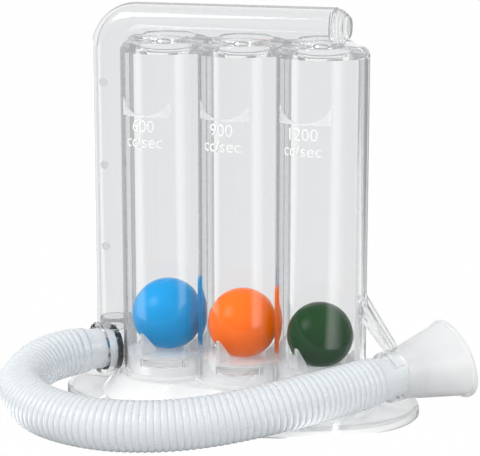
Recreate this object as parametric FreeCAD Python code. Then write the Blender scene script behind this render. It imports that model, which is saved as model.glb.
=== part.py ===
import FreeCAD, Part
import math
import os

from FreeCAD import Vector

# Three-chamber incentive spirometer, millimetres.
# Origin on the floor under the middle of the foot, +Z up, the marked front facing -Y.

# Chambers: three bays side by side, drawn as circles that run into each other
bay_radius = 17.8
bay_overlap = 3.8
row_centre_x = 1.2
shell_wall = 1.6
partition_wall = 1.5
chamber_height = 128.1
shoulder_rise = 3.9
shoulder_round = 3.6

# Balls, from the lowest flow to the highest, and the air holes that they rest on
ball_air_gaps = (1.9, 2.4, 3.3)
air_hole_radii = (4.5, 5.6, 7.4)
ball_names = ("ball_600_blue", "ball_900_orange", "ball_1200_green")
seat_names = ("ball_seat_600", "ball_seat_900", "ball_seat_1200")
ball_wall = 1.0
ball_rest_gap = 0.12
ball_stop_gap = 0.2

# Stop at the top of each chamber: a domed pocket with an outlet into the header
stop_radius = 10.7
dome_gap = 0.3
outlet_radius = 4.0
neck_wall = 1.2
neck_rise = 2.1
neck_round = 1.2
roof_over_dome = 0.4

# Riser and header: one duct that turns a corner
duct_radius = 7.4
duct_wall = 1.4
elbow_radius = 11.6
riser_overlap = 1.8
header_past_last_axis = 5.2
web_thickness = 3.0
web_over_shoulder = 2.3
web_corner = 7.0
mark_radius = 1.7
mark_depth = 0.3
mark_pitch = 32.6
mark_count = 4
mark_start = 1.8

# Ribbed cap in the open end of the header
cap_spigot = 1.3
cap_fit = 0.08
cap_rib_radii = (7.0, 6.8, 6.2, 5.4, 4.4)
cap_rib_pitch = 1.05
cap_rib_land = 0.5
cap_rib_depth = 0.45
cap_gap = 0.15

# Foot: an oval plate with a raised platform, hollow and ribbed underneath
foot_length = 144.0
foot_width = 91.0
foot_end_radius = 32.0
rim_height = 4.0
rim_round = 1.4
foot_wall = 2.0
deck_height = 9.5
deck_margin = 1.7
deck_end_straight = 1.5
slope_run_x = 5.5
slope_run_y = 17.0
slope_end_straight = 2.5
foot_rib = 1.6
foot_rib_count = 5
kerb_height = 1.5
kerb_wall = 1.4
kerb_gap = 0.1

# Ball seats: a floor with a hole, a skirt that stands on the deck and three fins
seat_floor = 2.0
seat_height = 9.5
seat_gap = 0.15
seat_skirt = 1.4
window_width = 16.4
window_shift = 3.2
window_height = 3.2
window_below_floor = 1.2
fin_height = 9.0
fin_nose = 1.5
fin_thickness = 1.3
fin_room = 1.2
fin_angles = (254.0, 14.0, 134.0)

# Port: a drum below the riser that takes the hose, with a black seal in it
port_angle = 230.0
port_above_deck = 7.5
riser_end_above_deck = 16.0
drum_root_radius = 9.7
drum_mouth_radius = 10.6
drum_back = 4.0
drum_front = 7.0
drum_floor = 1.5
drum_bore = 7.0
link_spigot = 4.0
saddle_gap = 0.3
seal_back = 0.6
seal_length = 2.4
seal_radius = 9.0
seal_bore = 6.6

# Hose end sleeves
sleeve_radius = 8.1
sleeve_bore = 6.6
sleeve_fit = 0.1
port_sleeve_length = 10.0
sleeve_shoulder = 1.5
sleeve_shoulder_radius = 8.7

# Hose: a plain tube of the outer diameter of its ribs
hose_radius = 9.0
hose_wall = 1.4

# Mouthpiece end, held in the clip beside the last chamber
mouth_angle = 52.0
mouth_tilt = 5.0
clip_out = 12.4
clip_forward = 5.9
clip_above_deck = 8.0
mouth_sleeve_back = 7.0
mouth_sleeve_front = 8.8

# Mouthpiece: round where it is pushed on, flared to a leaning oval rim
mouth_start = 2.8
mouth_socket = 7.0
mouth_fit = 0.06
mouth_length = 28.0
mouth_small_radius = 9.5
mouth_rim_long = 16.1
mouth_rim_short = 11.0
mouth_rim_lean = 46.0
mouth_wall = 1.3
mouth_throat = 7.0
mouth_bead_width = 2.4
mouth_bead_rise = 0.7
mouth_bead_steps = 6
mouth_points = 24

# Holder: a diagonal arm on the last bay and a snap clip round the sleeve
clip_fit = 0.15
clip_wall = 1.6
clip_width = 5.0
clip_open_low = -50.0
clip_open_high = 40.0
arm_web = 1.6
arm_flange_width = 5.0
arm_flange_thickness = 1.4
arm_depth = 6.2
arm_root_depth = 2.0
arm_sink = 0.4
arm_top = 38.6
arm_y = -4.5
arm_turn = 15.0
arm_out = 2.2
mouth_gap = 0.4

# Route of the hose between its two sleeves, a list of points chosen by hand
hose_first_run = 11.6
hose_last_run = 16.5
hose_free_points = [
    Vector(-75.6, -34.0, 14.2),
    Vector(-72.6, -49.5, 11.6),
    Vector(-61.5, -62.5, 10.0),
    Vector(-44.5, -71.8, 9.5),
    Vector(-25.0, -75.2, 9.5),
    Vector(-6.0, -70.6, 9.7),
    Vector(10.5, -62.0, 10.8),
    Vector(25.0, -51.6, 12.8),
    Vector(38.2, -39.4, 14.8),
]

# Values worked out from the sizes above
bore_radius = bay_radius - shell_wall
chamber_pitch = 2 * bay_radius - bay_overlap
ball_radii = [bore_radius - gap for gap in ball_air_gaps]
flat_offset = (chamber_pitch - partition_wall) / 2
chamber_xs = [row_centre_x + (i - 1) * chamber_pitch for i in range(3)]
stop_z = deck_height + chamber_height
shoulder_z = stop_z + shoulder_rise
neck_z = shoulder_z + neck_rise
dome_radius = max(ball_radii) + dome_gap
dome_z = stop_z - math.sqrt(dome_radius ** 2 - stop_radius ** 2)
duct_bore = duct_radius - duct_wall
header_z = dome_z + dome_radius + roof_over_dome + duct_bore
riser_x = chamber_xs[0] - bay_radius - duct_radius + riser_overlap
header_end_x = chamber_xs[2] + header_past_last_axis
riser_end_z = deck_height + riser_end_above_deck
floor_z = deck_height + seat_height
window_top_z = floor_z - window_below_floor
port_z = deck_height + port_above_deck
port_centre = Vector(riser_x, 0, port_z)
sleeve_start = seal_back + seal_length
clip_centre = Vector(chamber_xs[2] + bay_radius + clip_out, -clip_forward, deck_height + clip_above_deck)

# Cutters reach past the faces that they open, and joined pieces sink into each other
big = 400.0
over = 1.0
sink = 0.5


def cylinder_z(radius, x, y, z0, z1):
    """Upright cylinder from z0 to z1."""
    return Part.makeCylinder(radius, z1 - z0, Vector(x, y, z0))


def cylinder_x(radius, x0, x1, y, z):
    """Cylinder that lies along X."""
    return Part.makeCylinder(radius, x1 - x0, Vector(x0, y, z), Vector(1, 0, 0))


def block(x0, x1, y0, y1, z0, z1):
    """Box between two corners."""
    return Part.makeBox(x1 - x0, y1 - y0, z1 - z0, Vector(x0, y0, z0))


def fused(shapes):
    """All the shapes joined into one, without the seams between them."""
    return shapes[0].multiFuse(shapes[1:]).removeSplitter()


def turned(profile):
    """Solid of revolution about X from a closed list of (x, radius) points."""
    points = [Vector(x, 0, r) for x, r in profile]
    face = Part.Face(Part.makePolygon(points + points[:1]))
    return face.revolve(Vector(0, 0, 0), Vector(1, 0, 0), 360)


def aimed(shape, origin, angle, tilt=0):
    """A shape built along +X, tilted up, turned in plan to an angle and moved to its origin."""
    placed = shape.copy()
    placed.rotate(Vector(0, 0, 0), Vector(0, 1, 0), -tilt)
    placed.rotate(Vector(0, 0, 0), Vector(0, 0, 1), angle)
    placed.translate(origin)
    return placed


def direction(angle, tilt=0):
    """Unit vector at an angle in plan, tilted up."""
    level = math.cos(math.radians(tilt))
    x = level * math.cos(math.radians(angle))
    y = level * math.sin(math.radians(angle))
    return Vector(x, y, math.sin(math.radians(tilt)))


def rounded_top(shape, z, radius):
    """Rounds the outer edges of a shape that lie at height z."""
    edges = []
    for edge in shape.Edges:
        box = edge.BoundBox
        if abs(box.ZMin - z) < 1e-6 and abs(box.ZMax - z) < 1e-6:
            edges.append(edge)
    return shape.makeFillet(radius, edges)


def oval_wire(half_length, half_width, end_radius, centre_x, z):
    """Oval of four tangent arcs, pointed by its end radius."""
    reach = half_length - end_radius
    side_radius = (reach ** 2 + half_width ** 2 - end_radius ** 2) / (2 * (half_width - end_radius))
    lift = side_radius - half_width
    scale = end_radius / (side_radius - end_radius)
    join = Vector(reach + reach * scale, lift * scale, 0)
    ends = []
    for sx, sy in ((1, 1), (-1, 1), (-1, -1), (1, -1)):
        ends.append(Vector(centre_x + sx * join.x, sy * join.y, z))
    top = Vector(centre_x, half_width, z)
    left = Vector(centre_x - half_length, 0, z)
    bottom = Vector(centre_x, -half_width, z)
    right = Vector(centre_x + half_length, 0, z)
    arcs = [
        Part.Arc(ends[0], top, ends[1]).toShape(),
        Part.Arc(ends[1], left, ends[2]).toShape(),
        Part.Arc(ends[2], bottom, ends[3]).toShape(),
        Part.Arc(ends[3], right, ends[0]).toShape(),
    ]
    return Part.Wire(arcs)


def bays(radius, z0, z1):
    """The three bay cylinders at one radius, joined."""
    return fused([cylinder_z(radius, x, 0, z0, z1) for x in chamber_xs])


def chamber_plug(x, gap, z0, z1):
    """Plan of one chamber's inside: a circle cut flat on both sides, less a gap."""
    circle = cylinder_z(bore_radius - gap, x, 0, z0, z1)
    side = flat_offset - gap
    return circle.common(block(x - side, x + side, -bay_radius, bay_radius, z0, z1))


def duct(radius, riser_foot_z, end_x):
    """Riser, elbow and header as one round bar."""
    corner = Vector(riser_x + elbow_radius, 0, header_z - elbow_radius)
    riser = cylinder_z(radius, riser_x, 0, riser_foot_z, corner.z)
    header = cylinder_x(radius, corner.x, end_x, 0, header_z)
    ring = Part.Wire(Part.makeCircle(radius, Vector(riser_x, 0, corner.z), Vector(0, 0, 1)))
    elbow = Part.Face(ring).revolve(corner, Vector(0, 1, 0), 90)
    return fused([riser, elbow, header])


def parting_web():
    """Thin wall at the parting plane that fills the corner between the ducts and the bays."""
    top = shoulder_z + web_over_shoulder
    right = chamber_xs[2] + bay_radius
    low = stop_z - 2 * web_corner
    arc_mid = web_corner * (1 - math.sqrt(0.5))
    corner = Part.Arc(
        Vector(right - web_corner, 0, top),
        Vector(right - arc_mid, 0, top - arc_mid),
        Vector(right, 0, top - web_corner),
    ).toShape()
    outline = Part.Wire([
        Part.makeLine(Vector(riser_x, 0, low), Vector(riser_x, 0, top)),
        Part.makeLine(Vector(riser_x, 0, top), Vector(right - web_corner, 0, top)),
        corner,
        Part.makeLine(Vector(right, 0, top - web_corner), Vector(right, 0, low)),
        Part.makeLine(Vector(right, 0, low), Vector(riser_x, 0, low)),
    ])
    plate = Part.Face(outline).extrude(Vector(0, web_thickness, 0))
    plate.translate(Vector(0, -web_thickness / 2, 0))
    return plate


def body_outside():
    """Outer form of the clear body."""
    tubes = bays(bay_radius, deck_height, shoulder_z)
    tubes = rounded_top(tubes, shoulder_z, shoulder_round)
    neck_radius = stop_radius + neck_wall
    necks = []
    for x in chamber_xs:
        neck = cylinder_z(neck_radius, x, 0, stop_z, neck_z)
        necks.append(rounded_top(neck, neck_z, neck_round))
    saddle = cylinder_x(cap_rib_radii[0] + cap_gap, header_end_x, header_end_x + big, 0, header_z)
    lower = fused([tubes, parting_web()] + necks).cut(saddle)
    return fused([lower, duct(duct_radius, riser_end_z, header_end_x)])


def body_inside():
    """Everything that is air inside the clear body."""
    parts = [duct(duct_bore, riser_end_z - over, header_end_x + over)]
    for x in chamber_xs:
        parts.append(chamber_plug(x, 0, deck_height - over, stop_z))
        parts.append(Part.makeSphere(dome_radius, Vector(x, 0, dome_z)))
        parts.append(cylinder_z(outlet_radius, x, 0, dome_z, header_z))
    return parts


def air_window(x, z_top):
    """Slot in the front of a bay under its floor."""
    left = x + window_shift - window_width / 2
    right = left + window_width
    return block(left, right, -bay_radius - over, -bore_radius / 2, z_top - window_height, z_top)


def riser_marks():
    """Small round recesses down the front of the riser."""
    marks = []
    for i in range(mark_count):
        z = riser_end_z + mark_start + i * mark_pitch
        start = Vector(riser_x, -duct_radius - over, z)
        marks.append(Part.makeCylinder(mark_radius, over + mark_depth, start, Vector(0, 1, 0)))
    return marks


def body_shells():
    """Front and rear halves of the clear body, which meet on the plane of the chamber axes."""
    body = body_outside().cut(body_inside())
    front = body.common(block(-big, big, -big, 0, -big, big))
    rear = body.common(block(-big, big, 0, big, -big, big))
    front = front.cut([air_window(x, window_top_z) for x in chamber_xs] + riser_marks())
    return front.removeSplitter(), rear.removeSplitter()


def header_cap():
    """Ribbed cap whose short spigot closes the open end of the header."""
    spigot_radius = duct_bore - cap_fit
    profile = [(header_end_x - cap_spigot, 0), (header_end_x - cap_spigot, spigot_radius)]
    profile.append((header_end_x, spigot_radius))
    x = header_end_x
    slope = cap_rib_pitch * (1 - cap_rib_land) / 2
    for radius in cap_rib_radii:
        root = radius - cap_rib_depth
        profile.append((x, root))
        profile.append((x + slope, radius))
        profile.append((x + cap_rib_pitch - slope, radius))
        profile.append((x + cap_rib_pitch, root))
        x += cap_rib_pitch
    profile.append((x, 0))
    cap = turned(profile)
    cap.translate(Vector(0, 0, header_z))
    return cap


def rounded_plan(half_x, half_y, corner, z):
    """Rectangle with round corners about the middle of the row of chambers."""
    x = half_x - corner
    y = half_y - corner
    edges = []
    for sx, sy in ((1, 1), (-1, 1), (-1, -1), (1, -1)):
        middle = Vector(row_centre_x + sx * x, sy * y, z)
        side = Vector(sx * corner, 0, 0)
        end = Vector(0, sy * corner, 0)
        corner_point = (side + end) * math.sqrt(0.5)
        ends = [middle + side, middle + end] if sx * sy > 0 else [middle + end, middle + side]
        if edges:
            edges.append(Part.makeLine(edges[-1].Vertexes[-1].Point, ends[0]))
        edges.append(Part.Arc(ends[0], middle + corner_point, ends[1]).toShape())
    edges.append(Part.makeLine(edges[-1].Vertexes[-1].Point, edges[0].Vertexes[0].Point))
    return Part.Wire(edges)


def foot_form(shrink, drop, z_low):
    """Outer form of the foot, or the hollow under it when shrunk by a wall."""
    length = foot_length / 2 - shrink
    width = foot_width / 2 - shrink
    rim_z = rim_height - drop
    outline = oval_wire(length, width, foot_end_radius - shrink, 0, z_low)
    rim = Part.Face(outline).extrude(Vector(0, 0, rim_z - z_low))
    if shrink == 0:
        rim = rounded_top(rim, rim_z, rim_round)
    half_deck = chamber_pitch + bay_radius + deck_margin - shrink
    half_depth = bay_radius + deck_margin - shrink
    low_x = half_deck + slope_run_x
    low_y = half_depth + slope_run_y
    low = rounded_plan(low_x, low_y, low_y - slope_end_straight, rim_z)
    high = rounded_plan(half_deck, half_depth, half_depth - deck_end_straight, deck_height - drop)
    platform = Part.makeLoft([low, high], True, True)
    return fused([rim, platform])


def kerb():
    """Low kerb on the deck that locates the foot of the three bays."""
    inner = bay_radius + kerb_gap
    outer = bays(inner + kerb_wall, deck_height - sink, deck_height + kerb_height)
    ring = outer.cut(bays(inner, deck_height - over, deck_height + kerb_height + over))
    riser_room = block(-big, chamber_xs[0] - bay_radius / 2, -big, big, deck_height, big)
    return ring.cut(riser_room)


def port_room(gap):
    """Space taken by the port and the sleeve in it, larger all round by a gap."""
    sleeve_end = sleeve_start + port_sleeve_length + sleeve_shoulder
    room = turned([
        (-drum_back - gap, 0),
        (-drum_back - gap, drum_root_radius + gap),
        (drum_front + gap, drum_mouth_radius + gap),
        (drum_front + gap, sleeve_shoulder_radius + gap),
        (sleeve_end + gap, sleeve_shoulder_radius + gap),
        (sleeve_end + gap, 0),
    ])
    return aimed(room, port_centre, port_angle)


def foot():
    """Milky foot: plate, deck, kerb, ribs underneath and a saddle for the port."""
    outside = foot_form(0, 0, 0)
    hollow = foot_form(foot_wall, foot_wall, -over)
    half = foot_rib / 2
    ribs = [block(-foot_length / 2, foot_length / 2, -half, half, 0, deck_height)]
    for i in range(foot_rib_count):
        x = (i - (foot_rib_count - 1) / 2) * foot_length / (foot_rib_count + 1)
        ribs.append(block(x - half, x + half, -foot_width / 2, foot_width / 2, 0, deck_height))
    inner_ribs = fused(ribs).common(foot_form(foot_wall / 2, foot_wall / 2, 0))
    saddle = port_room(saddle_gap + foot_wall).common(outside)
    plate = fused([outside.cut(hollow), inner_ribs, saddle, kerb()])
    return plate.cut(port_room(saddle_gap)).removeSplitter()


def ball_rest_height(i):
    """Height of a ball's centre above the floor of its chamber."""
    return math.sqrt(ball_radii[i] ** 2 - air_hole_radii[i] ** 2) + ball_rest_gap


def ball_top_height(i):
    """Height of a ball's centre when the dome stops it."""
    edge_z = dome_z + math.sqrt(dome_radius ** 2 - outlet_radius ** 2)
    on_outlet = edge_z - math.sqrt(ball_radii[i] ** 2 - outlet_radius ** 2) - ball_stop_gap
    return max(dome_z, on_outlet)


def ball(i):
    """One hollow ball, resting over its air hole."""
    centre = Vector(chamber_xs[i], 0, floor_z + ball_rest_height(i))
    skin = Part.makeSphere(ball_radii[i], centre)
    return skin.cut(Part.makeSphere(ball_radii[i] - ball_wall, centre))


def seat_fin(i):
    """Triangular fin that keeps the ball over its hole, along +X from the chamber's axis."""
    below = ball_rest_height(i) - fin_nose
    nose = math.sqrt(ball_radii[i] ** 2 - below ** 2) + fin_room
    points = [
        Vector(nose, 0, -sink),
        Vector(bore_radius, 0, -sink),
        Vector(bore_radius, 0, fin_height),
        Vector(nose, 0, fin_nose),
    ]
    face = Part.Face(Part.makePolygon(points + points[:1]))
    fin = face.extrude(Vector(0, fin_thickness, 0))
    fin.translate(Vector(0, -fin_thickness / 2, 0))
    return fin


def ball_seat(i):
    """Floor of one chamber with its air hole, skirt, inlet slot and fins."""
    x = chamber_xs[i]
    seat = chamber_plug(x, seat_gap, deck_height, floor_z)
    under = chamber_plug(x, seat_gap + seat_skirt, deck_height - over, floor_z - seat_floor)
    hole = cylinder_z(air_hole_radii[i], x, 0, deck_height, floor_z + over)
    seat = seat.cut([under, hole, air_window(x, window_top_z)])
    fins = []
    for angle in fin_angles:
        fins.append(aimed(seat_fin(i), Vector(x, 0, floor_z), angle))
    fins = fused(fins).common(chamber_plug(x, seat_gap, deck_height, floor_z + fin_height))
    return fused([seat, fins])


def port_socket(shells):
    """Clear drum under the riser with a link up into it and a mouth for the hose."""
    drum = turned([
        (-drum_back, 0),
        (-drum_back, drum_root_radius),
        (drum_front, drum_mouth_radius),
        (drum_front, 0),
    ])
    bore = turned([
        (drum_floor - drum_back, 0),
        (drum_floor - drum_back, drum_bore),
        (seal_back, drum_bore),
        (seal_back, seal_radius),
        (sleeve_start, seal_radius),
        (sleeve_start, sleeve_radius + sleeve_fit),
        (drum_front + over, sleeve_radius + sleeve_fit),
        (drum_front + over, 0),
    ])
    link = cylinder_z(duct_radius, riser_x, 0, port_z, riser_end_z)
    spigot = cylinder_z(duct_bore - cap_fit, riser_x, 0, riser_end_z, riser_end_z + link_spigot)
    link_bore = cylinder_z(duct_bore - duct_wall, riser_x, 0, port_z, riser_end_z + link_spigot + over)
    outside = fused([aimed(drum, port_centre, port_angle), link, spigot])
    inside = aimed(bore, port_centre, port_angle)
    sleeve_room = turned([
        (seal_back, 0),
        (seal_back, sleeve_radius + sleeve_fit),
        (drum_front + over, sleeve_radius + sleeve_fit),
        (drum_front + over, 0),
    ])
    socket = outside.cut([inside, link_bore, aimed(sleeve_room, port_centre, port_angle)])
    return socket.cut(bays(bay_radius + kerb_gap, 0, riser_end_z)).cut(shells)


def port_seal():
    """Black rubber ring in the port that the hose sleeve is pushed against."""
    ring = turned([
        (seal_back, seal_bore),
        (seal_back, seal_radius),
        (sleeve_start, seal_radius),
        (sleeve_start, seal_bore),
    ])
    return aimed(ring, port_centre, port_angle)


def port_sleeve():
    """Smooth end of the hose that is pushed into the port."""
    neck = sleeve_start + port_sleeve_length
    sleeve = turned([
        (sleeve_start, sleeve_bore),
        (sleeve_start, sleeve_radius),
        (neck, sleeve_radius),
        (neck, sleeve_shoulder_radius),
        (neck + sleeve_shoulder, sleeve_shoulder_radius),
        (neck + sleeve_shoulder, sleeve_bore),
    ])
    return aimed(sleeve, port_centre, port_angle)


def mouth_sleeve():
    """Smooth end of the hose that carries the mouthpiece."""
    back = -mouth_sleeve_back
    sleeve = turned([
        (back - sleeve_shoulder, sleeve_bore),
        (back - sleeve_shoulder, sleeve_shoulder_radius),
        (back, sleeve_shoulder_radius),
        (back, sleeve_radius),
        (mouth_sleeve_front, sleeve_radius),
        (mouth_sleeve_front, sleeve_bore),
    ])
    return aimed(sleeve, clip_centre, mouth_angle, mouth_tilt)


def mouth_section(x, shrink):
    """Closed curve round the mouthpiece, round at its start and oval at its rim."""
    share = (x - mouth_start) / mouth_length
    long = mouth_small_radius + share * (mouth_rim_long - mouth_small_radius) - shrink
    short = mouth_small_radius + share * (mouth_rim_short - mouth_small_radius) - shrink
    lean = math.radians(mouth_rim_lean)
    along = Vector(0, math.sin(lean), math.cos(lean))
    across = Vector(0, math.cos(lean), -math.sin(lean))
    centre = Vector(x, 0, 0)
    points = []
    for i in range(mouth_points):
        turn = 2 * math.pi * i / mouth_points
        points.append(centre + along * (long * math.cos(turn)) + across * (short * math.sin(turn)))
    curve = Part.BSplineCurve()
    curve.interpolate(Points=points, PeriodicFlag=True)
    return Part.Wire(curve.toShape())


def mouthpiece():
    """Flared mouthpiece with a socket, a throat and a beaded oval rim."""
    stop = mouth_start + mouth_socket
    throat_x = stop + mouth_wall
    end = mouth_start + mouth_length
    sections = [mouth_section(mouth_start, 0)]
    for i in range(mouth_bead_steps + 1):
        turn = math.pi * i / mouth_bead_steps
        x = end - mouth_bead_width / 2 * (1 + math.cos(turn))
        sections.append(mouth_section(x, -mouth_bead_rise * math.sin(turn)))
    outside = Part.makeLoft(sections, True, True)
    flare = Part.makeLoft([mouth_section(throat_x, mouth_wall), mouth_section(end, mouth_wall)], True, True)
    socket = cylinder_x(sleeve_radius + mouth_fit, mouth_start - over, stop, 0, 0)
    throat = cylinder_x(mouth_throat, stop - over, throat_x + over, 0, 0)
    shape = outside.cut([flare, socket, throat])
    return aimed(shape, clip_centre, mouth_angle, mouth_tilt)


def hose_clip():
    """Snap ring round the sleeve, open towards the front."""
    inner = sleeve_radius + clip_fit
    half = clip_width / 2
    outer = inner + clip_wall
    ring = turned([(-half, inner), (-half, outer), (half, outer), (half, inner)])
    reach = 3 * inner
    wedge_points = [Vector(0, 0, 0)]
    for angle in (clip_open_low, (clip_open_low + clip_open_high) / 2, clip_open_high):
        turn = math.radians(angle)
        wedge_points.append(Vector(0, -reach * math.cos(turn), reach * math.sin(turn)))
    wedge_face = Part.Face(Part.makePolygon(wedge_points + wedge_points[:1]))
    wedge = wedge_face.extrude(Vector(2 * clip_width, 0, 0))
    wedge.translate(Vector(-clip_width, 0, 0))
    return aimed(ring.cut(wedge), clip_centre, mouth_angle, mouth_tilt)


def arm_strip(points, width):
    """Flat strip with a closed outline in the plane of the arm, centred on that plane."""
    face = Part.Face(Part.makePolygon(points + points[:1]))
    strip = face.extrude(Vector(0, width, 0))
    strip.translate(Vector(0, arm_y - width / 2, 0))
    return strip


def hose_holder():
    """Diagonal arm from the last bay down to the snap ring, a web between two flanges."""
    inner = sleeve_radius + clip_fit
    root = Vector(chamber_xs[2] + bay_radius - arm_root_depth, 0, deck_height + arm_top)
    tip = Vector(clip_centre.x + arm_out, 0, clip_centre.z + inner + clip_wall / 2)
    along = (tip - root).normalize()
    down = Vector(along.z, 0, -along.x)
    low_root = root + down * arm_depth
    low_tip = Vector(clip_centre.x - arm_web, 0, clip_centre.z + inner + arm_sink)
    low_along = (low_tip - low_root).normalize()
    up = Vector(-low_along.z, 0, low_along.x)
    top = down * arm_flange_thickness
    bottom = up * arm_flange_thickness
    strips = [
        arm_strip([root, tip, low_tip, low_root], arm_web),
        arm_strip([root, tip, tip + top, root + top], arm_flange_width),
        arm_strip([low_root, low_tip, low_tip + bottom, low_root + bottom], arm_flange_width),
    ]
    bore = cylinder_x(inner, -2 * clip_width, 2 * clip_width, 0, 0)
    near = mouth_section(mouth_start - mouth_gap, -mouth_gap)
    far = mouth_section(mouth_start + mouth_length, -mouth_gap)
    mouth_room = Part.makeLoft([near, far], True, True)
    rooms = [aimed(room, clip_centre, mouth_angle, mouth_tilt) for room in (bore, mouth_room)]
    arm = fused(strips)
    arm.rotate(Vector(tip.x, arm_y, 0), Vector(0, 0, 1), -arm_turn)
    arm = arm.cut(rooms + [bays(bay_radius, 0, big)])
    return fused([arm, hose_clip()])


def hose_points():
    """The free points with the runs that leave the two sleeves along their axes."""
    outward = direction(port_angle)
    forward = direction(mouth_angle, mouth_tilt)
    first = port_centre + outward * (sleeve_start + port_sleeve_length + sleeve_shoulder)
    last = clip_centre - forward * (mouth_sleeve_back + sleeve_shoulder)
    ends = [last - forward * hose_last_run, last]
    return [first, first + outward * hose_first_run] + hose_free_points + ends


def hose_path():
    """Straight runs joined by tangent arcs, each arc as large as its two runs allow."""
    route = hose_points()
    edges = []
    at = route[0]
    length = 0.0
    radii = []
    for i in range(1, len(route) - 1):
        before = route[i] - route[i - 1]
        after = route[i + 1] - route[i]
        reach = 0.45 * min(before.Length, after.Length)
        turn = before.getAngle(after)
        radius = reach / math.tan(turn / 2)
        radii.append(radius)
        u = Vector(before).normalize()
        v = Vector(after).normalize()
        start = route[i] - u * reach
        end = route[i] + v * reach
        inward = Vector(v - u).normalize()
        to_centre = radius / math.cos(turn / 2)
        middle = route[i] + inward * (to_centre - radius)
        edges.append(Part.LineSegment(at, start).toShape())
        edges.append(Part.Arc(start, middle, end).toShape())
        length += (start - at).Length + radius * turn
        at = end
    edges.append(Part.LineSegment(at, route[-1]).toShape())
    length += (route[-1] - at).Length
    return Part.Wire(edges), length, radii


def hose():
    """Hose as a plain tube along its route."""
    path, length, radii = hose_path()
    tubes = []
    for radius in (hose_radius, hose_radius - hose_wall):
        ring = Part.Wire(Part.makeCircle(radius, hose_points()[0], direction(port_angle)))
        tubes.append(path.makePipeShell([ring], True, False))
    tube = tubes[0].cut(tubes[1])
    section = math.pi * (hose_radius ** 2 - (hose_radius - hose_wall) ** 2)
    ratio = tube.Volume / (section * length)
    print("hose length", round(length, 1), "volume over section x length", round(ratio, 4))
    print("hose arc radii", [round(r, 1) for r in radii])
    return tube


def build():
    """Makes every node and writes one STEP file for each."""
    front_shell, rear_shell = body_shells()
    nodes = {
        "front_shell": front_shell,
        "rear_shell": rear_shell,
        "header_cap": header_cap(),
        "foot": foot(),
        "port_socket": port_socket([front_shell, rear_shell]),
        "port_seal": port_seal(),
        "hose_holder": hose_holder(),
        "hose": hose(),
        "hose_port_sleeve": port_sleeve(),
        "hose_mouth_sleeve": mouth_sleeve(),
        "mouthpiece": mouthpiece(),
    }
    for i in range(3):
        nodes[seat_names[i]] = ball_seat(i)
        nodes[ball_names[i]] = ball(i)
        rise = ball_top_height(i) - floor_z - ball_rest_height(i)
        print(ball_names[i], "rise", round(rise, 2), "centre", round(floor_z + ball_rest_height(i), 2))
    os.makedirs("parts", exist_ok=True)
    for name, shape in nodes.items():
        if not shape.isValid():
            print("invalid", name)
        shape.exportStep("parts/" + name + ".step")
        print(name, "solids", len(shape.Solids), "volume", round(shape.Volume, 1))


build()
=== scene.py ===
# %% [markdown]
# A breathing exerciser for a hospital ward stands on a white table. Three light balls rest in
# three clear bays, a duct leads from the bays to a ribbed hose, and the hose ends in a
# mouthpiece that a clip holds beside the last bay. The first cell loads the finished parts as a
# fixed frame.

# %% Load the parts
import bisect
import math

import bmesh
import bpy
from mathutils import Matrix, Vector


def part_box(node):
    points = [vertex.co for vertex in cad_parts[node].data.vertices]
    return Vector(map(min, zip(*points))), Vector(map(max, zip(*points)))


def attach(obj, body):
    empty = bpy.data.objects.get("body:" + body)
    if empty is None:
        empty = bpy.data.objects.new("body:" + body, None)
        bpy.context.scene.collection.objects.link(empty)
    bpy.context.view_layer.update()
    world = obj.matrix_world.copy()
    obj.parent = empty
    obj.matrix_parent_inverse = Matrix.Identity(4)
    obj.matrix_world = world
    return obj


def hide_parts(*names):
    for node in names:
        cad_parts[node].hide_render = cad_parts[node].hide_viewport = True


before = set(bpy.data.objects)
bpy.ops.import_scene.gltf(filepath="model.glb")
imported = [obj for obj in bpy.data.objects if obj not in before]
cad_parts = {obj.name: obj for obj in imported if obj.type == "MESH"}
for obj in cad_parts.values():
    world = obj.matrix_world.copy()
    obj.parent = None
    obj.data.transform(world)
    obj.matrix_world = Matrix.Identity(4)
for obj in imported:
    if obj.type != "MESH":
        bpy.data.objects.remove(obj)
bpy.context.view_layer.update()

# %% [markdown]
# The camera comes before anything is made, because a picture is judged from one place. It stands
# to the right of the marked front and a little above, about two thirds of a metre away, with a
# long lens that keeps the upright edges nearly parallel. No shift is needed.

# %% Camera
camera_azimuth = math.radians(20.0)
camera_pitch = math.radians(11.7)
camera_distance = 0.659
camera_height = 0.206
sensor_width = 36.0
picture_width = 480
focal_pixels = 1728.0
nearest_seen = 0.01
farthest_seen = 50.0

camera_data = bpy.data.cameras.new("camera")
camera_data.sensor_width = sensor_width
camera_data.lens = sensor_width * focal_pixels / picture_width
camera_data.clip_start = nearest_seen
camera_data.clip_end = farthest_seen
camera = bpy.data.objects.new("camera", camera_data)
across = camera_distance * math.sin(camera_azimuth)
away = -camera_distance * math.cos(camera_azimuth)
camera.location = (across, away, camera_height)
camera.rotation_euler = (math.pi / 2 - camera_pitch, 0, camera_azimuth)
bpy.context.scene.collection.objects.link(camera)
bpy.context.scene.camera = camera
print("lens", round(camera_data.lens, 1), "mm")

# %% [markdown]
# The hose is a soft thing of one real length, so its line is settled next. The points below are
# its route in metres: straight out of the port, down to the table, round in front of the foot
# and up into the clip. A NURBS spline of order 3 runs smoothly through them and passes inside
# the corners. The order and the end setting go in after the points, because a spline with too
# few points can't hold them.

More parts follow.
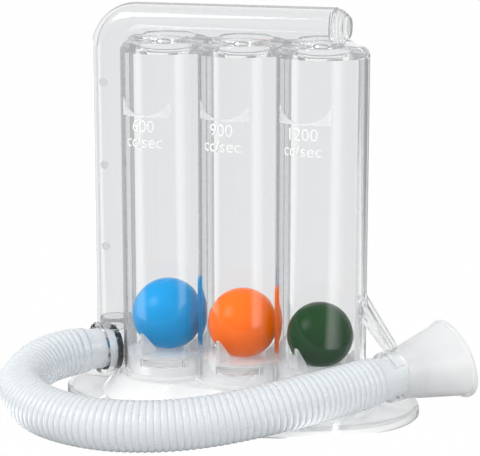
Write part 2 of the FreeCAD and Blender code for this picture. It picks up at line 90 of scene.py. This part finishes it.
# %% Line of the hose
hose_route = [
    (-0.06332, -0.01111, 0.01700),
    (-0.07078, -0.01999, 0.01700),
    (-0.07560, -0.03400, 0.01420),
    (-0.07260, -0.04950, 0.01160),
    (-0.06150, -0.06250, 0.01000),
    (-0.04450, -0.07180, 0.00950),
    (-0.02500, -0.07520, 0.00950),
    (-0.00600, -0.07060, 0.00970),
    (0.01050, -0.06200, 0.01080),
    (0.02500, -0.05160, 0.01280),
    (0.03820, -0.03940, 0.01480),
    (0.04787, -0.02553, 0.01532),
    (0.05799, -0.01257, 0.01676),
]
hose_radius = 0.009
line_steps = 48
line_order = 3


def line_points(route):
    """Points read from the smooth spline over a route."""
    curve = bpy.data.curves.new("route", "CURVE")
    curve.dimensions = "3D"
    curve.resolution_u = line_steps
    spline = curve.splines.new("NURBS")
    spline.points.add(len(route) - 1)
    for point, place in zip(spline.points, route):
        point.co = (*place, 1.0)
    spline.order_u = line_order
    spline.use_endpoint_u = True
    holder = bpy.data.objects.new("route", curve)
    mesh = bpy.data.meshes.new_from_object(holder)
    points = [vertex.co.copy() for vertex in mesh.vertices]
    bpy.data.objects.remove(holder)
    bpy.data.curves.remove(curve)
    bpy.data.meshes.remove(mesh)
    return points


hose_line = line_points(hose_route)
hose_stations = [0.0]
for here, there in zip(hose_line, hose_line[1:]):
    hose_stations.append(hose_stations[-1] + (there - here).length)

# %% [markdown]
# Rings of the hose need a place and a direction at any distance along the line. A frame is
# carried from point to point and only turned as much as the line turns, so the tube never
# twists.

# %% Places along the hose
hose_frames = []
side = Vector((0, 0, 1))
for index, here in enumerate(hose_line):
    before = hose_line[max(index - 1, 0)]
    after = hose_line[min(index + 1, len(hose_line) - 1)]
    ahead = (after - before).normalized()
    side = (side - ahead * side.dot(ahead)).normalized()
    hose_frames.append((here, side.copy(), ahead.cross(side)))


def on_hose(distance, first, second):
    """The point at a distance along the hose, moved sideways along the carried frame."""
    index = bisect.bisect_left(hose_stations, distance, 1, len(hose_stations) - 1)
    span = hose_stations[index] - hose_stations[index - 1]
    share = (distance - hose_stations[index - 1]) / span
    low = hose_frames[index - 1]
    high = hose_frames[index]
    centre, out, over = (a.lerp(b, share) for a, b in zip(low, high))
    return centre + out * first + over * second


print("frames", len(hose_frames))

# %% [markdown]
# A corrugated hose is blown into a mould of rings. Its wall is the same thickness in the ridges
# and in the grooves, so the outline is a row of round ridges with narrow grooves. The straight
# tube is made first: one rib outline, spun once round the axis. Then every point is laid along
# the line. Spinning keeps the ribs even, and the bending closes them up on the inside of the
# curves, as on the real hose. A short smooth cuff at each end meets the sleeve.

# %% Ribbed hose
rib_pitch = 0.0024
rib_depth = 0.0007
rib_points = 8
rib_fullness = 0.55
port_cuff = 0.0035
mouth_cuff = 0.0025
cuff_radius = 0.0086
cuff_steps = 4
hose_wall = 0.0005
hose_sides = 40
merge_distance = 1e-6


def finished(name, bm, body="stand"):
    """A mesh object at the origin that rides on a body."""
    mesh = bpy.data.meshes.new(name)
    bm.to_mesh(mesh)
    bm.free()
    mesh.shade_smooth()
    piece = bpy.data.objects.new(name, mesh)
    bpy.context.scene.collection.objects.link(piece)
    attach(piece, body)
    return piece


def rib_radius(share):
    """Outer radius of the hose at a share of one rib, from groove to groove."""
    return hose_radius - rib_depth * (1 - math.sin(math.pi * share) ** rib_fullness)


def hose_outline():
    """Radius and distance along the hose: a smooth cuff, the ribs and a smooth cuff."""
    first = port_cuff
    last = hose_stations[-1] - mouth_cuff
    ribs = round((last - first) / rib_pitch)
    count = ribs * rib_points
    outline = [(cuff_radius, first * step / cuff_steps) for step in range(cuff_steps)]
    for step in range(count + 1):
        radius = rib_radius(step % rib_points / rib_points)
        outline.append((radius, first + (last - first) * step / count))
    for step in range(1, cuff_steps + 1):
        outline.append((cuff_radius, last + mouth_cuff * step / cuff_steps))
    return outline, ribs


def ribbed_hose():
    """The corrugated tube along its line."""
    outline, ribs = hose_outline()
    bm = bmesh.new()
    previous = None
    for radius, reach in outline:
        vertex = bm.verts.new((radius, 0, reach))
        if previous:
            bm.edges.new((previous, vertex))
        previous = vertex
    bmesh.ops.spin(
        bm, geom=bm.verts[:] + bm.edges[:], cent=(0, 0, 0), axis=(0, 0, 1), dvec=(0, 0, 0),
        angle=2 * math.pi, steps=hose_sides, use_merge=True,
    )
    bmesh.ops.remove_doubles(bm, verts=bm.verts, dist=merge_distance)
    for vertex in bm.verts:
        vertex.co = on_hose(vertex.co.z, vertex.co.x, vertex.co.y)
    bmesh.ops.recalc_face_normals(bm, faces=bm.faces)
    piece = finished("hose_ribbed", bm)
    wall = piece.modifiers.new("wall", "SOLIDIFY")
    wall.thickness = hose_wall
    wall.offset = -1
    print("ribs", ribs, "faces", len(piece.data.polygons))
    return piece


hose = ribbed_hose()
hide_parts("hose")

# %% [markdown]
# Every plastic here comes out of a polished mould and is never quite even: the gloss wanders a
# little and the surface has a faint ripple. Several materials share that, so it is one node
# group with its own sliders. It reads Object coordinates, and it gives a roughness and a height.
# The shaders stay outside it.

# %% Moulded surface group
slider_defaults = {"Scale": 120.0, "Roughness": 0.1, "Wander": 0.05, "Grain Scale": 900.0}
slow_detail = 3.0
fine_detail = 2.0
noise_middle = 0.5
grain_share = 0.2


def moulded_surface_group():
    """A shared group that makes roughness and height wander over a moulded surface."""
    group = bpy.data.node_groups.new("moulded_surface", "ShaderNodeTree")
    for name, default in slider_defaults.items():
        socket = group.interface.new_socket(name, in_out="INPUT", socket_type="NodeSocketFloat")
        socket.default_value = default
    for name in ("Roughness", "Height"):
        group.interface.new_socket(name, in_out="OUTPUT", socket_type="NodeSocketFloat")
    nodes = group.nodes
    link = group.links.new
    inputs = nodes.new("NodeGroupInput")
    outputs = nodes.new("NodeGroupOutput")
    place = nodes.new("ShaderNodeTexCoord")
    slow = nodes.new("ShaderNodeTexNoise")
    slow.inputs["Detail"].default_value = slow_detail
    fine = nodes.new("ShaderNodeTexNoise")
    fine.inputs["Detail"].default_value = fine_detail
    centred = nodes.new("ShaderNodeMath")
    centred.operation = "SUBTRACT"
    centred.inputs[1].default_value = noise_middle
    spread = nodes.new("ShaderNodeMath")
    spread.operation = "MULTIPLY"
    total = nodes.new("ShaderNodeMath")
    total.operation = "ADD"
    total.use_clamp = True
    height = nodes.new("ShaderNodeMath")
    height.operation = "MULTIPLY_ADD"
    height.inputs[1].default_value = grain_share
    link(place.outputs["Object"], slow.inputs["Vector"])
    link(place.outputs["Object"], fine.inputs["Vector"])
    link(inputs.outputs["Scale"], slow.inputs["Scale"])
    link(inputs.outputs["Grain Scale"], fine.inputs["Scale"])
    link(slow.outputs["Fac"], centred.inputs[0])
    link(centred.outputs[0], spread.inputs[0])
    link(inputs.outputs["Wander"], spread.inputs[1])
    link(inputs.outputs["Roughness"], total.inputs[0])
    link(spread.outputs[0], total.inputs[1])
    link(fine.outputs["Fac"], height.inputs[0])
    link(slow.outputs["Fac"], height.inputs[2])
    link(total.outputs[0], outputs.inputs["Roughness"])
    link(height.outputs[0], outputs.inputs["Height"])
    return group


moulded_surface = moulded_surface_group()
print("group", moulded_surface.name)

# %% [markdown]
# One function makes a plastic from its colour, gloss and depth of ripple. The ripple goes
# through a Bump node into the shader's normal. See-through plastics also get two Light Path
# mixes. A ray towards a lamp passes straight on, so the lamps reach the balls inside the bays. A
# ray that has met many walls ends in an even grey glow, because a render stops it after some
# bounces and would leave a black spot there.

# %% Plastic materials
ripple_height = 0.001
trapped_depth = 5.5
trapped_glow = (0.49, 0.495, 0.5)


def plastic(name, colour, roughness, wander=0.04, scale=120.0, ripple=0.02, **sockets):
    """A moulded plastic with a wandering gloss and a faint ripple."""
    material = bpy.data.materials.new(name)
    material.use_nodes = True
    nodes = material.node_tree.nodes
    link = material.node_tree.links.new
    shader = nodes["Principled BSDF"]
    shader.inputs["Base Color"].default_value = (*colour, 1.0)
    for socket, value in sockets.items():
        shader.inputs[socket.replace("_", " ")].default_value = value
    surface = nodes.new("ShaderNodeGroup")
    surface.node_tree = moulded_surface
    surface.inputs["Scale"].default_value = scale
    surface.inputs["Roughness"].default_value = roughness
    surface.inputs["Wander"].default_value = wander
    bump = nodes.new("ShaderNodeBump")
    bump.inputs["Strength"].default_value = ripple
    bump.inputs["Distance"].default_value = ripple_height
    link(surface.outputs["Roughness"], shader.inputs["Roughness"])
    link(surface.outputs["Height"], bump.inputs["Height"])
    link(bump.outputs["Normal"], shader.inputs["Normal"])
    return material


def lets_lamps_through(material, colour, glow=None):
    """Rays towards lamps pass through with a tint, and a glow ends rays trapped in a wall."""
    nodes = material.node_tree.nodes
    link = material.node_tree.links.new
    path = nodes.new("ShaderNodeLightPath")
    surface = nodes["Principled BSDF"].outputs["BSDF"]
    if glow:
        trapped = nodes.new("ShaderNodeMath")
        trapped.operation = "GREATER_THAN"
        trapped.inputs[1].default_value = trapped_depth
        ending = nodes.new("ShaderNodeEmission")
        ending.inputs["Color"].default_value = (*glow, 1.0)
        rescue = nodes.new("ShaderNodeMixShader")
        link(path.outputs["Ray Depth"], trapped.inputs[0])
        link(trapped.outputs[0], rescue.inputs["Fac"])
        link(surface, rescue.inputs[1])
        link(ending.outputs["Emission"], rescue.inputs[2])
        surface = rescue.outputs["Shader"]
    clear = nodes.new("ShaderNodeBsdfTransparent")
    clear.inputs["Color"].default_value = (*colour, 1.0)
    mix = nodes.new("ShaderNodeMixShader")
    link(path.outputs["Is Shadow Ray"], mix.inputs["Fac"])
    link(surface, mix.inputs[1])
    link(clear.outputs["BSDF"], mix.inputs[2])
    link(mix.outputs["Shader"], nodes["Material Output"].inputs["Surface"])


clear_plastic = plastic(
    "clear_plastic", (0.895, 0.9, 0.905), roughness=0.02, wander=0.02, scale=60.0, ripple=0.02,
    Transmission_Weight=1.0, IOR=1.38,
)
lets_lamps_through(clear_plastic, (0.93, 0.94, 0.945), trapped_glow)
seat_plastic = plastic(
    "seat_plastic", (0.97, 0.975, 0.98), roughness=0.12, wander=0.05, scale=90.0, ripple=0.03,
    Transmission_Weight=0.72, IOR=1.4, Specular_IOR_Level=0.3,
)
lets_lamps_through(seat_plastic, (0.8, 0.8, 0.8), trapped_glow)
holder_plastic = plastic(
    "holder_plastic", (0.88, 0.885, 0.89), roughness=0.06, wander=0.03, scale=60.0, ripple=0.02,
    Transmission_Weight=0.85, IOR=1.38,
)
lets_lamps_through(holder_plastic, (0.85, 0.85, 0.85), trapped_glow)
milky_plastic = plastic(
    "milky_plastic", (0.96, 0.965, 0.965), roughness=0.22, wander=0.08, scale=90.0, ripple=0.05,
    Transmission_Weight=0.7, IOR=1.35,
)
lets_lamps_through(milky_plastic, (0.8, 0.8, 0.8), (0.95, 0.955, 0.96))
hose_plastic = plastic(
    "hose_plastic", (0.775, 0.81, 0.835), roughness=0.28, wander=0.08, scale=150.0, ripple=0.05,
    Transmission_Weight=0.1, IOR=1.45,
)
lets_lamps_through(hose_plastic, (0.65, 0.68, 0.7))
mouthpiece_plastic = plastic(
    "mouthpiece_plastic", (0.86, 0.865, 0.87), roughness=0.3, wander=0.06, scale=80.0, ripple=0.03,
    Transmission_Weight=0.45, IOR=1.35,
)
lets_lamps_through(mouthpiece_plastic, (0.75, 0.75, 0.75))
# The port seal's near-black colour is a painted dark reflection: it stands in for the dark
# refraction seen in the port's cavity.
seal_rubber = plastic(
    "seal_rubber", (0.015, 0.015, 0.016), roughness=0.5, wander=0.1, scale=300.0, ripple=0.2,
)
print("plastics", [m.name for m in bpy.data.materials])

# %% [markdown]
# The balls are plain coloured plastic with a soft gloss. Each colour is its own material, made
# by one loop. Their own mirroring is kept low, because the clear wall in front of them already
# mirrors the room.

# %% Ball materials
ball_colours = {
    "ball_600_blue": (0.0, 0.295, 0.66),
    "ball_900_orange": (1.0, 0.155, 0.001),
    "ball_1200_green": (0.001, 0.04, 0.004),
}
ball_materials = {}
for node_name, colour in ball_colours.items():
    ball_materials[node_name] = plastic(
        node_name.replace("ball_", "plastic_"), colour, roughness=0.14, wander=0.04, scale=40.0,
        ripple=0.0005, Specular_IOR_Level=0.1,
    )
print("ball plastics", list(ball_materials))

# %% [markdown]
# A part that already has the right shape stays as it is and only takes its material.

# %% Dress the parts
node_materials = {
    "front_shell": clear_plastic,
    "rear_shell": clear_plastic,
    "header_cap": clear_plastic,
    "port_socket": clear_plastic,
    "hose_holder": holder_plastic,
    "ball_seat_600": seat_plastic,
    "ball_seat_900": seat_plastic,
    "ball_seat_1200": seat_plastic,
    "foot": milky_plastic,
    # The port seal takes the near-black painted dark reflection.
    "port_seal": seal_rubber,
    "hose_port_sleeve": hose_plastic,
    "hose_mouth_sleeve": hose_plastic,
    "mouthpiece": mouthpiece_plastic,
    **ball_materials,
}
for node_name, material in node_materials.items():
    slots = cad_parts[node_name].data.materials
    slots.clear()
    slots.append(material)
hose.data.materials.append(hose_plastic)
print("dressed", len(node_materials))

# %% [markdown]
# The flow marks are raised in the mould: a cradle that the risen ball sits in, and below it the
# flow in plain numbers with its unit. They are modelled flat and then wrapped round the bay, so
# that they stand off it by the same small height everywhere. They sit a little to the left of
# each bay's front line. The letters are white and the cradle is frosted.

# %% Flow marks
mark_turn = math.radians(-8.0)
mark_relief = 0.00025
letter_bevel = mark_relief / 4
letter_thinning = 0.00007
number_height = 0.110
unit_height = 0.104
number_size = 0.0066
unit_size = 0.0066
cradle_width = 0.0225
cradle_base = 0.1138
cradle_thinnest = 0.0006
cradle_rise = 0.0064
cradle_curve = 0.9
cradle_steps = 32
bay_radius = -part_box("front_shell")[0].y
bays = {"600": "ball_seat_600", "900": "ball_seat_900", "1200": "ball_seat_1200"}


def wrap_on_bay(piece, centre_x):
    """Lays a flat mesh, seen from +Z, on the front of a bay."""
    for vertex in piece.vertices:
        turn = mark_turn + vertex.co.x / bay_radius
        reach = bay_radius + vertex.co.z
        vertex.co = (centre_x + reach * math.sin(turn), -reach * math.cos(turn), vertex.co.y)


def raised_words(name, words, size, height, centre_x):
    """Raised letters on a bay."""
    text = bpy.data.curves.new(name, "FONT")
    text.body = words
    text.size = size
    text.align_x = "CENTER"
    text.align_y = "CENTER"
    text.extrude = mark_relief
    text.bevel_depth = letter_bevel
    text.offset = -letter_thinning
    text.bevel_resolution = 1
    holder = bpy.data.objects.new(name, text)
    mesh = bpy.data.meshes.new_from_object(holder)
    bpy.data.objects.remove(holder)
    bpy.data.curves.remove(text)
    for vertex in mesh.vertices:
        vertex.co.y += height
    wrap_on_bay(mesh, centre_x)
    piece = bpy.data.objects.new(name, mesh)
    bpy.context.scene.collection.objects.link(piece)
    piece.data.materials.append(mark_plastic)
    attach(piece, "stand")
    return piece


def cradle(name, centre_x):
    """Raised cradle with a hollow round top, as wide as the mark and as deep as the ball."""
    bm = bmesh.new()
    bmesh.ops.create_grid(bm, x_segments=cradle_steps, y_segments=1, size=0.5)
    deepest = 1 - math.sqrt(1 - cradle_curve)
    for vertex in bm.verts:
        share = 2 * vertex.co.x
        hollow = 1 - math.sqrt(1 - cradle_curve * share ** 2)
        top = cradle_thinnest + cradle_rise * hollow / deepest
        upper = vertex.co.y > 0
        vertex.co = (share * cradle_width / 2, cradle_base + (top if upper else 0), 0)
    solid = bmesh.ops.extrude_face_region(bm, geom=bm.faces[:])
    for item in solid["geom"]:
        if isinstance(item, bmesh.types.BMVert):
            item.co.z += mark_relief
    bmesh.ops.recalc_face_normals(bm, faces=bm.faces)
    mesh = bpy.data.meshes.new(name)
    bm.to_mesh(mesh)
    bm.free()
    wrap_on_bay(mesh, centre_x)
    piece = bpy.data.objects.new(name, mesh)
    bpy.context.scene.collection.objects.link(piece)
    piece.data.materials.append(frosted_plastic)
    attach(piece, "stand")
    return piece


mark_plastic = plastic(
    "mark_plastic", (0.95, 0.955, 0.96), roughness=0.25, wander=0.05, scale=200.0, ripple=0.05,
)
frosted_plastic = plastic(
    "frosted_plastic", (0.97, 0.975, 0.98), roughness=0.35, wander=0.05, scale=200.0, ripple=0.05,
    Transmission_Weight=0.65, IOR=1.4,
)
lets_lamps_through(frosted_plastic, (0.85, 0.85, 0.85), trapped_glow)
for number, seat_name in bays.items():
    seat_low, seat_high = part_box(seat_name)
    bay_x = (seat_low.x + seat_high.x) / 2
    raised_words("mark_number_" + number, number, number_size, number_height, bay_x)
    raised_words("mark_unit_" + number, "cc/sec", unit_size, unit_height, bay_x)
    cradle("mark_cradle_" + number, bay_x)
    print("marks on bay", number, "at", round(bay_x, 4))

# %% [markdown]
# Down the front of the riser the mould has left four small round recesses with a frosted bottom.
# The parts have the recesses, so only the frosting is added: a thin disc in each, a little
# smaller than its recess.

# %% Frosted discs
disc_plastic = plastic(
    "disc_plastic", (0.8, 0.805, 0.81), roughness=0.3, wander=0.05, scale=200.0, ripple=0.05,
    Transmission_Weight=0.75, IOR=1.35,
)
lets_lamps_through(disc_plastic, (0.85, 0.85, 0.85), trapped_glow)
disc_radius = 0.0016
disc_thickness = 0.0001
recess_depth = 0.0003
riser_radius = 0.0074
first_disc = 0.0273
disc_pitch = 0.0326
disc_count = 4
disc_sides = 32
riser_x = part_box("front_shell")[0].x + riser_radius
disc_y = recess_depth - riser_radius - disc_thickness
bm = bmesh.new()
for number in range(disc_count):
    disc_place = Vector((riser_x, disc_y, first_disc + number * disc_pitch))
    bmesh.ops.create_cone(
        bm, cap_ends=True, segments=disc_sides, radius1=disc_radius, radius2=disc_radius,
        depth=disc_thickness,
        matrix=Matrix.Translation(disc_place) @ Matrix.Rotation(math.pi / 2, 4, "X"),
    )
discs_mesh = bpy.data.meshes.new("riser_discs")
bm.to_mesh(discs_mesh)
bm.free()
discs = bpy.data.objects.new("riser_discs", discs_mesh)
bpy.context.scene.collection.objects.link(discs)
discs_mesh.materials.append(disc_plastic)
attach(discs, "stand")
print("discs", disc_count, "at x", round(riser_x, 4))

# %% [markdown]
# The floor is plain and pale. A camera ray meets mostly plain white there, and the rest is
# ordinary shading, so the background is white and the object still throws a faint shadow. Rays
# that come through the clear plastic meet the same white. What the clear walls mirror is the
# floor as well, and plain white there would veil the balls and hide the edges. So a mirrored ray
# meets a dark floor with a bright strip on either side of the object, which draws the soft
# upright bands on the bays. The strips lie on all four diagonals, so the back has them too.

# %% Floor
floor_size = 12.0
floor_grey = (0.8, 0.8, 0.8, 1)
floor_roughness = 0.9
plain_white = (1, 1, 1, 1)
floor_white = 0.985
mirrored_floor = 0.1
strip_glow = 4.5
strip_from = math.radians(35)
strip_full = math.radians(50)
strip_to = math.radians(80)


def meets_white(nodes, link, path):
    """One for rays from the camera, mirrored rays and rays that came through clear plastic."""
    seen = nodes.new("ShaderNodeMath")
    seen.operation = "MAXIMUM"
    seen_through = nodes.new("ShaderNodeMath")
    seen_through.operation = "MAXIMUM"
    link(path.outputs["Is Camera Ray"], seen.inputs[0])
    link(path.outputs["Is Glossy Ray"], seen.inputs[1])
    link(seen.outputs[0], seen_through.inputs[0])
    link(path.outputs["Is Transmission Ray"], seen_through.inputs[1])
    return seen_through.outputs[0]


def edge_of_strip(nodes, angles, glows):
    """A smooth step between two glows over a range of angles."""
    step = nodes.new("ShaderNodeMapRange")
    step.interpolation_type = "SMOOTHSTEP"
    step.inputs["From Min"].default_value, step.inputs["From Max"].default_value = angles
    step.inputs["To Min"].default_value, step.inputs["To Max"].default_value = glows
    return step


bm = bmesh.new()
bmesh.ops.create_grid(bm, x_segments=1, y_segments=1, size=floor_size / 2)
floor_mesh = bpy.data.meshes.new("floor")
bm.to_mesh(floor_mesh)
bm.free()
floor = bpy.data.objects.new("floor", floor_mesh)
bpy.context.scene.collection.objects.link(floor)

floor_material = bpy.data.materials.new("floor")
floor_material.use_nodes = True
nodes = floor_material.node_tree.nodes
link = floor_material.node_tree.links.new
nodes["Principled BSDF"].inputs["Base Color"].default_value = floor_grey
nodes["Principled BSDF"].inputs["Roughness"].default_value = floor_roughness
white = nodes.new("ShaderNodeEmission")
white.inputs["Color"].default_value = plain_white
path = nodes.new("ShaderNodeLightPath")
mirrored = nodes.new("ShaderNodeMath")
mirrored.operation = "SUBTRACT"
mirrored.use_clamp = True
place = nodes.new("ShaderNodeTexCoord")
split = nodes.new("ShaderNodeSeparateXYZ")
across = nodes.new("ShaderNodeMath")
across.operation = "ABSOLUTE"
along = nodes.new("ShaderNodeMath")
along.operation = "ABSOLUTE"
angle = nodes.new("ShaderNodeMath")
angle.operation = "ARCTAN2"
rise = edge_of_strip(nodes, (strip_from, strip_full), (mirrored_floor, strip_glow))
fall = edge_of_strip(nodes, (strip_full, strip_to), (strip_glow, mirrored_floor))
strips = nodes.new("ShaderNodeMath")
strips.operation = "MINIMUM"
glow = nodes.new("ShaderNodeMix")
link(place.outputs["Object"], split.inputs[0])
link(split.outputs["X"], across.inputs[0])
link(split.outputs["Y"], along.inputs[0])
link(across.outputs[0], angle.inputs[0])
link(along.outputs[0], angle.inputs[1])
link(angle.outputs[0], rise.inputs["Value"])
link(angle.outputs[0], fall.inputs["Value"])
link(rise.outputs["Result"], strips.inputs[0])
link(fall.outputs["Result"], strips.inputs[1])
link(path.outputs["Is Glossy Ray"], mirrored.inputs[0])
link(path.outputs["Is Transmission Ray"], mirrored.inputs[1])
link(mirrored.outputs[0], glow.inputs["Factor"])
glow.inputs["A"].default_value = 1.0
link(strips.outputs[0], glow.inputs["B"])
link(glow.outputs["Result"], white.inputs["Strength"])
share = nodes.new("ShaderNodeMath")
share.operation = "MULTIPLY"
share.inputs[1].default_value = floor_white
mix = nodes.new("ShaderNodeMixShader")
link(meets_white(nodes, link, path), share.inputs[0])
link(share.outputs[0], mix.inputs["Fac"])
link(nodes["Principled BSDF"].outputs["BSDF"], mix.inputs[1])
link(white.outputs["Emission"], mix.inputs[2])
link(mix.outputs["Shader"], nodes["Material Output"].inputs["Surface"])
floor_mesh.materials.append(floor_material)
print("floor", floor_size, "m")

# %% [markdown]
# Soft studio light: a large lamp above on the left, a weaker one on the right and an even grey
# world that fills the shadows. For camera, mirrored and transmitted rays the world is white. The
# lamps are large, so the highlights on the balls are soft.

# %% Light
fill_strength = 0.55
lamp_aim = Vector((0, 0, 0.07))
world = bpy.data.worlds.new("studio")
bpy.context.scene.world = world
world.use_nodes = True
nodes = world.node_tree.nodes
link = world.node_tree.links.new
fill = nodes["Background"]
fill.inputs["Color"].default_value = plain_white
fill.inputs["Strength"].default_value = fill_strength
backdrop = nodes.new("ShaderNodeBackground")
backdrop.inputs["Color"].default_value = plain_white
path = nodes.new("ShaderNodeLightPath")
mix = nodes.new("ShaderNodeMixShader")
link(meets_white(nodes, link, path), mix.inputs["Fac"])
link(fill.outputs["Background"], mix.inputs[1])
link(backdrop.outputs["Background"], mix.inputs[2])
link(mix.outputs["Shader"], nodes["World Output"].inputs["Surface"])

lamps = {
    "lamp_left": ((-0.9, -0.9, 1.1), 0.8, 14.0),
    "lamp_right": ((1.1, -0.5, 0.7), 0.6, 5.0),
}
for name, (place, size, power) in lamps.items():
    lamp_data = bpy.data.lights.new(name, "AREA")
    lamp_data.shape = "SQUARE"
    lamp_data.size = size
    lamp_data.energy = power
    lamp = bpy.data.objects.new(name, lamp_data)
    lamp.location = place
    towards = lamp_aim - Vector(place)
    lamp.rotation_euler = towards.to_track_quat("-Z", "Y").to_euler()
    bpy.context.scene.collection.objects.link(lamp)
bpy.context.scene.view_settings.view_transform = "Standard"
print("lamps", list(lamps))
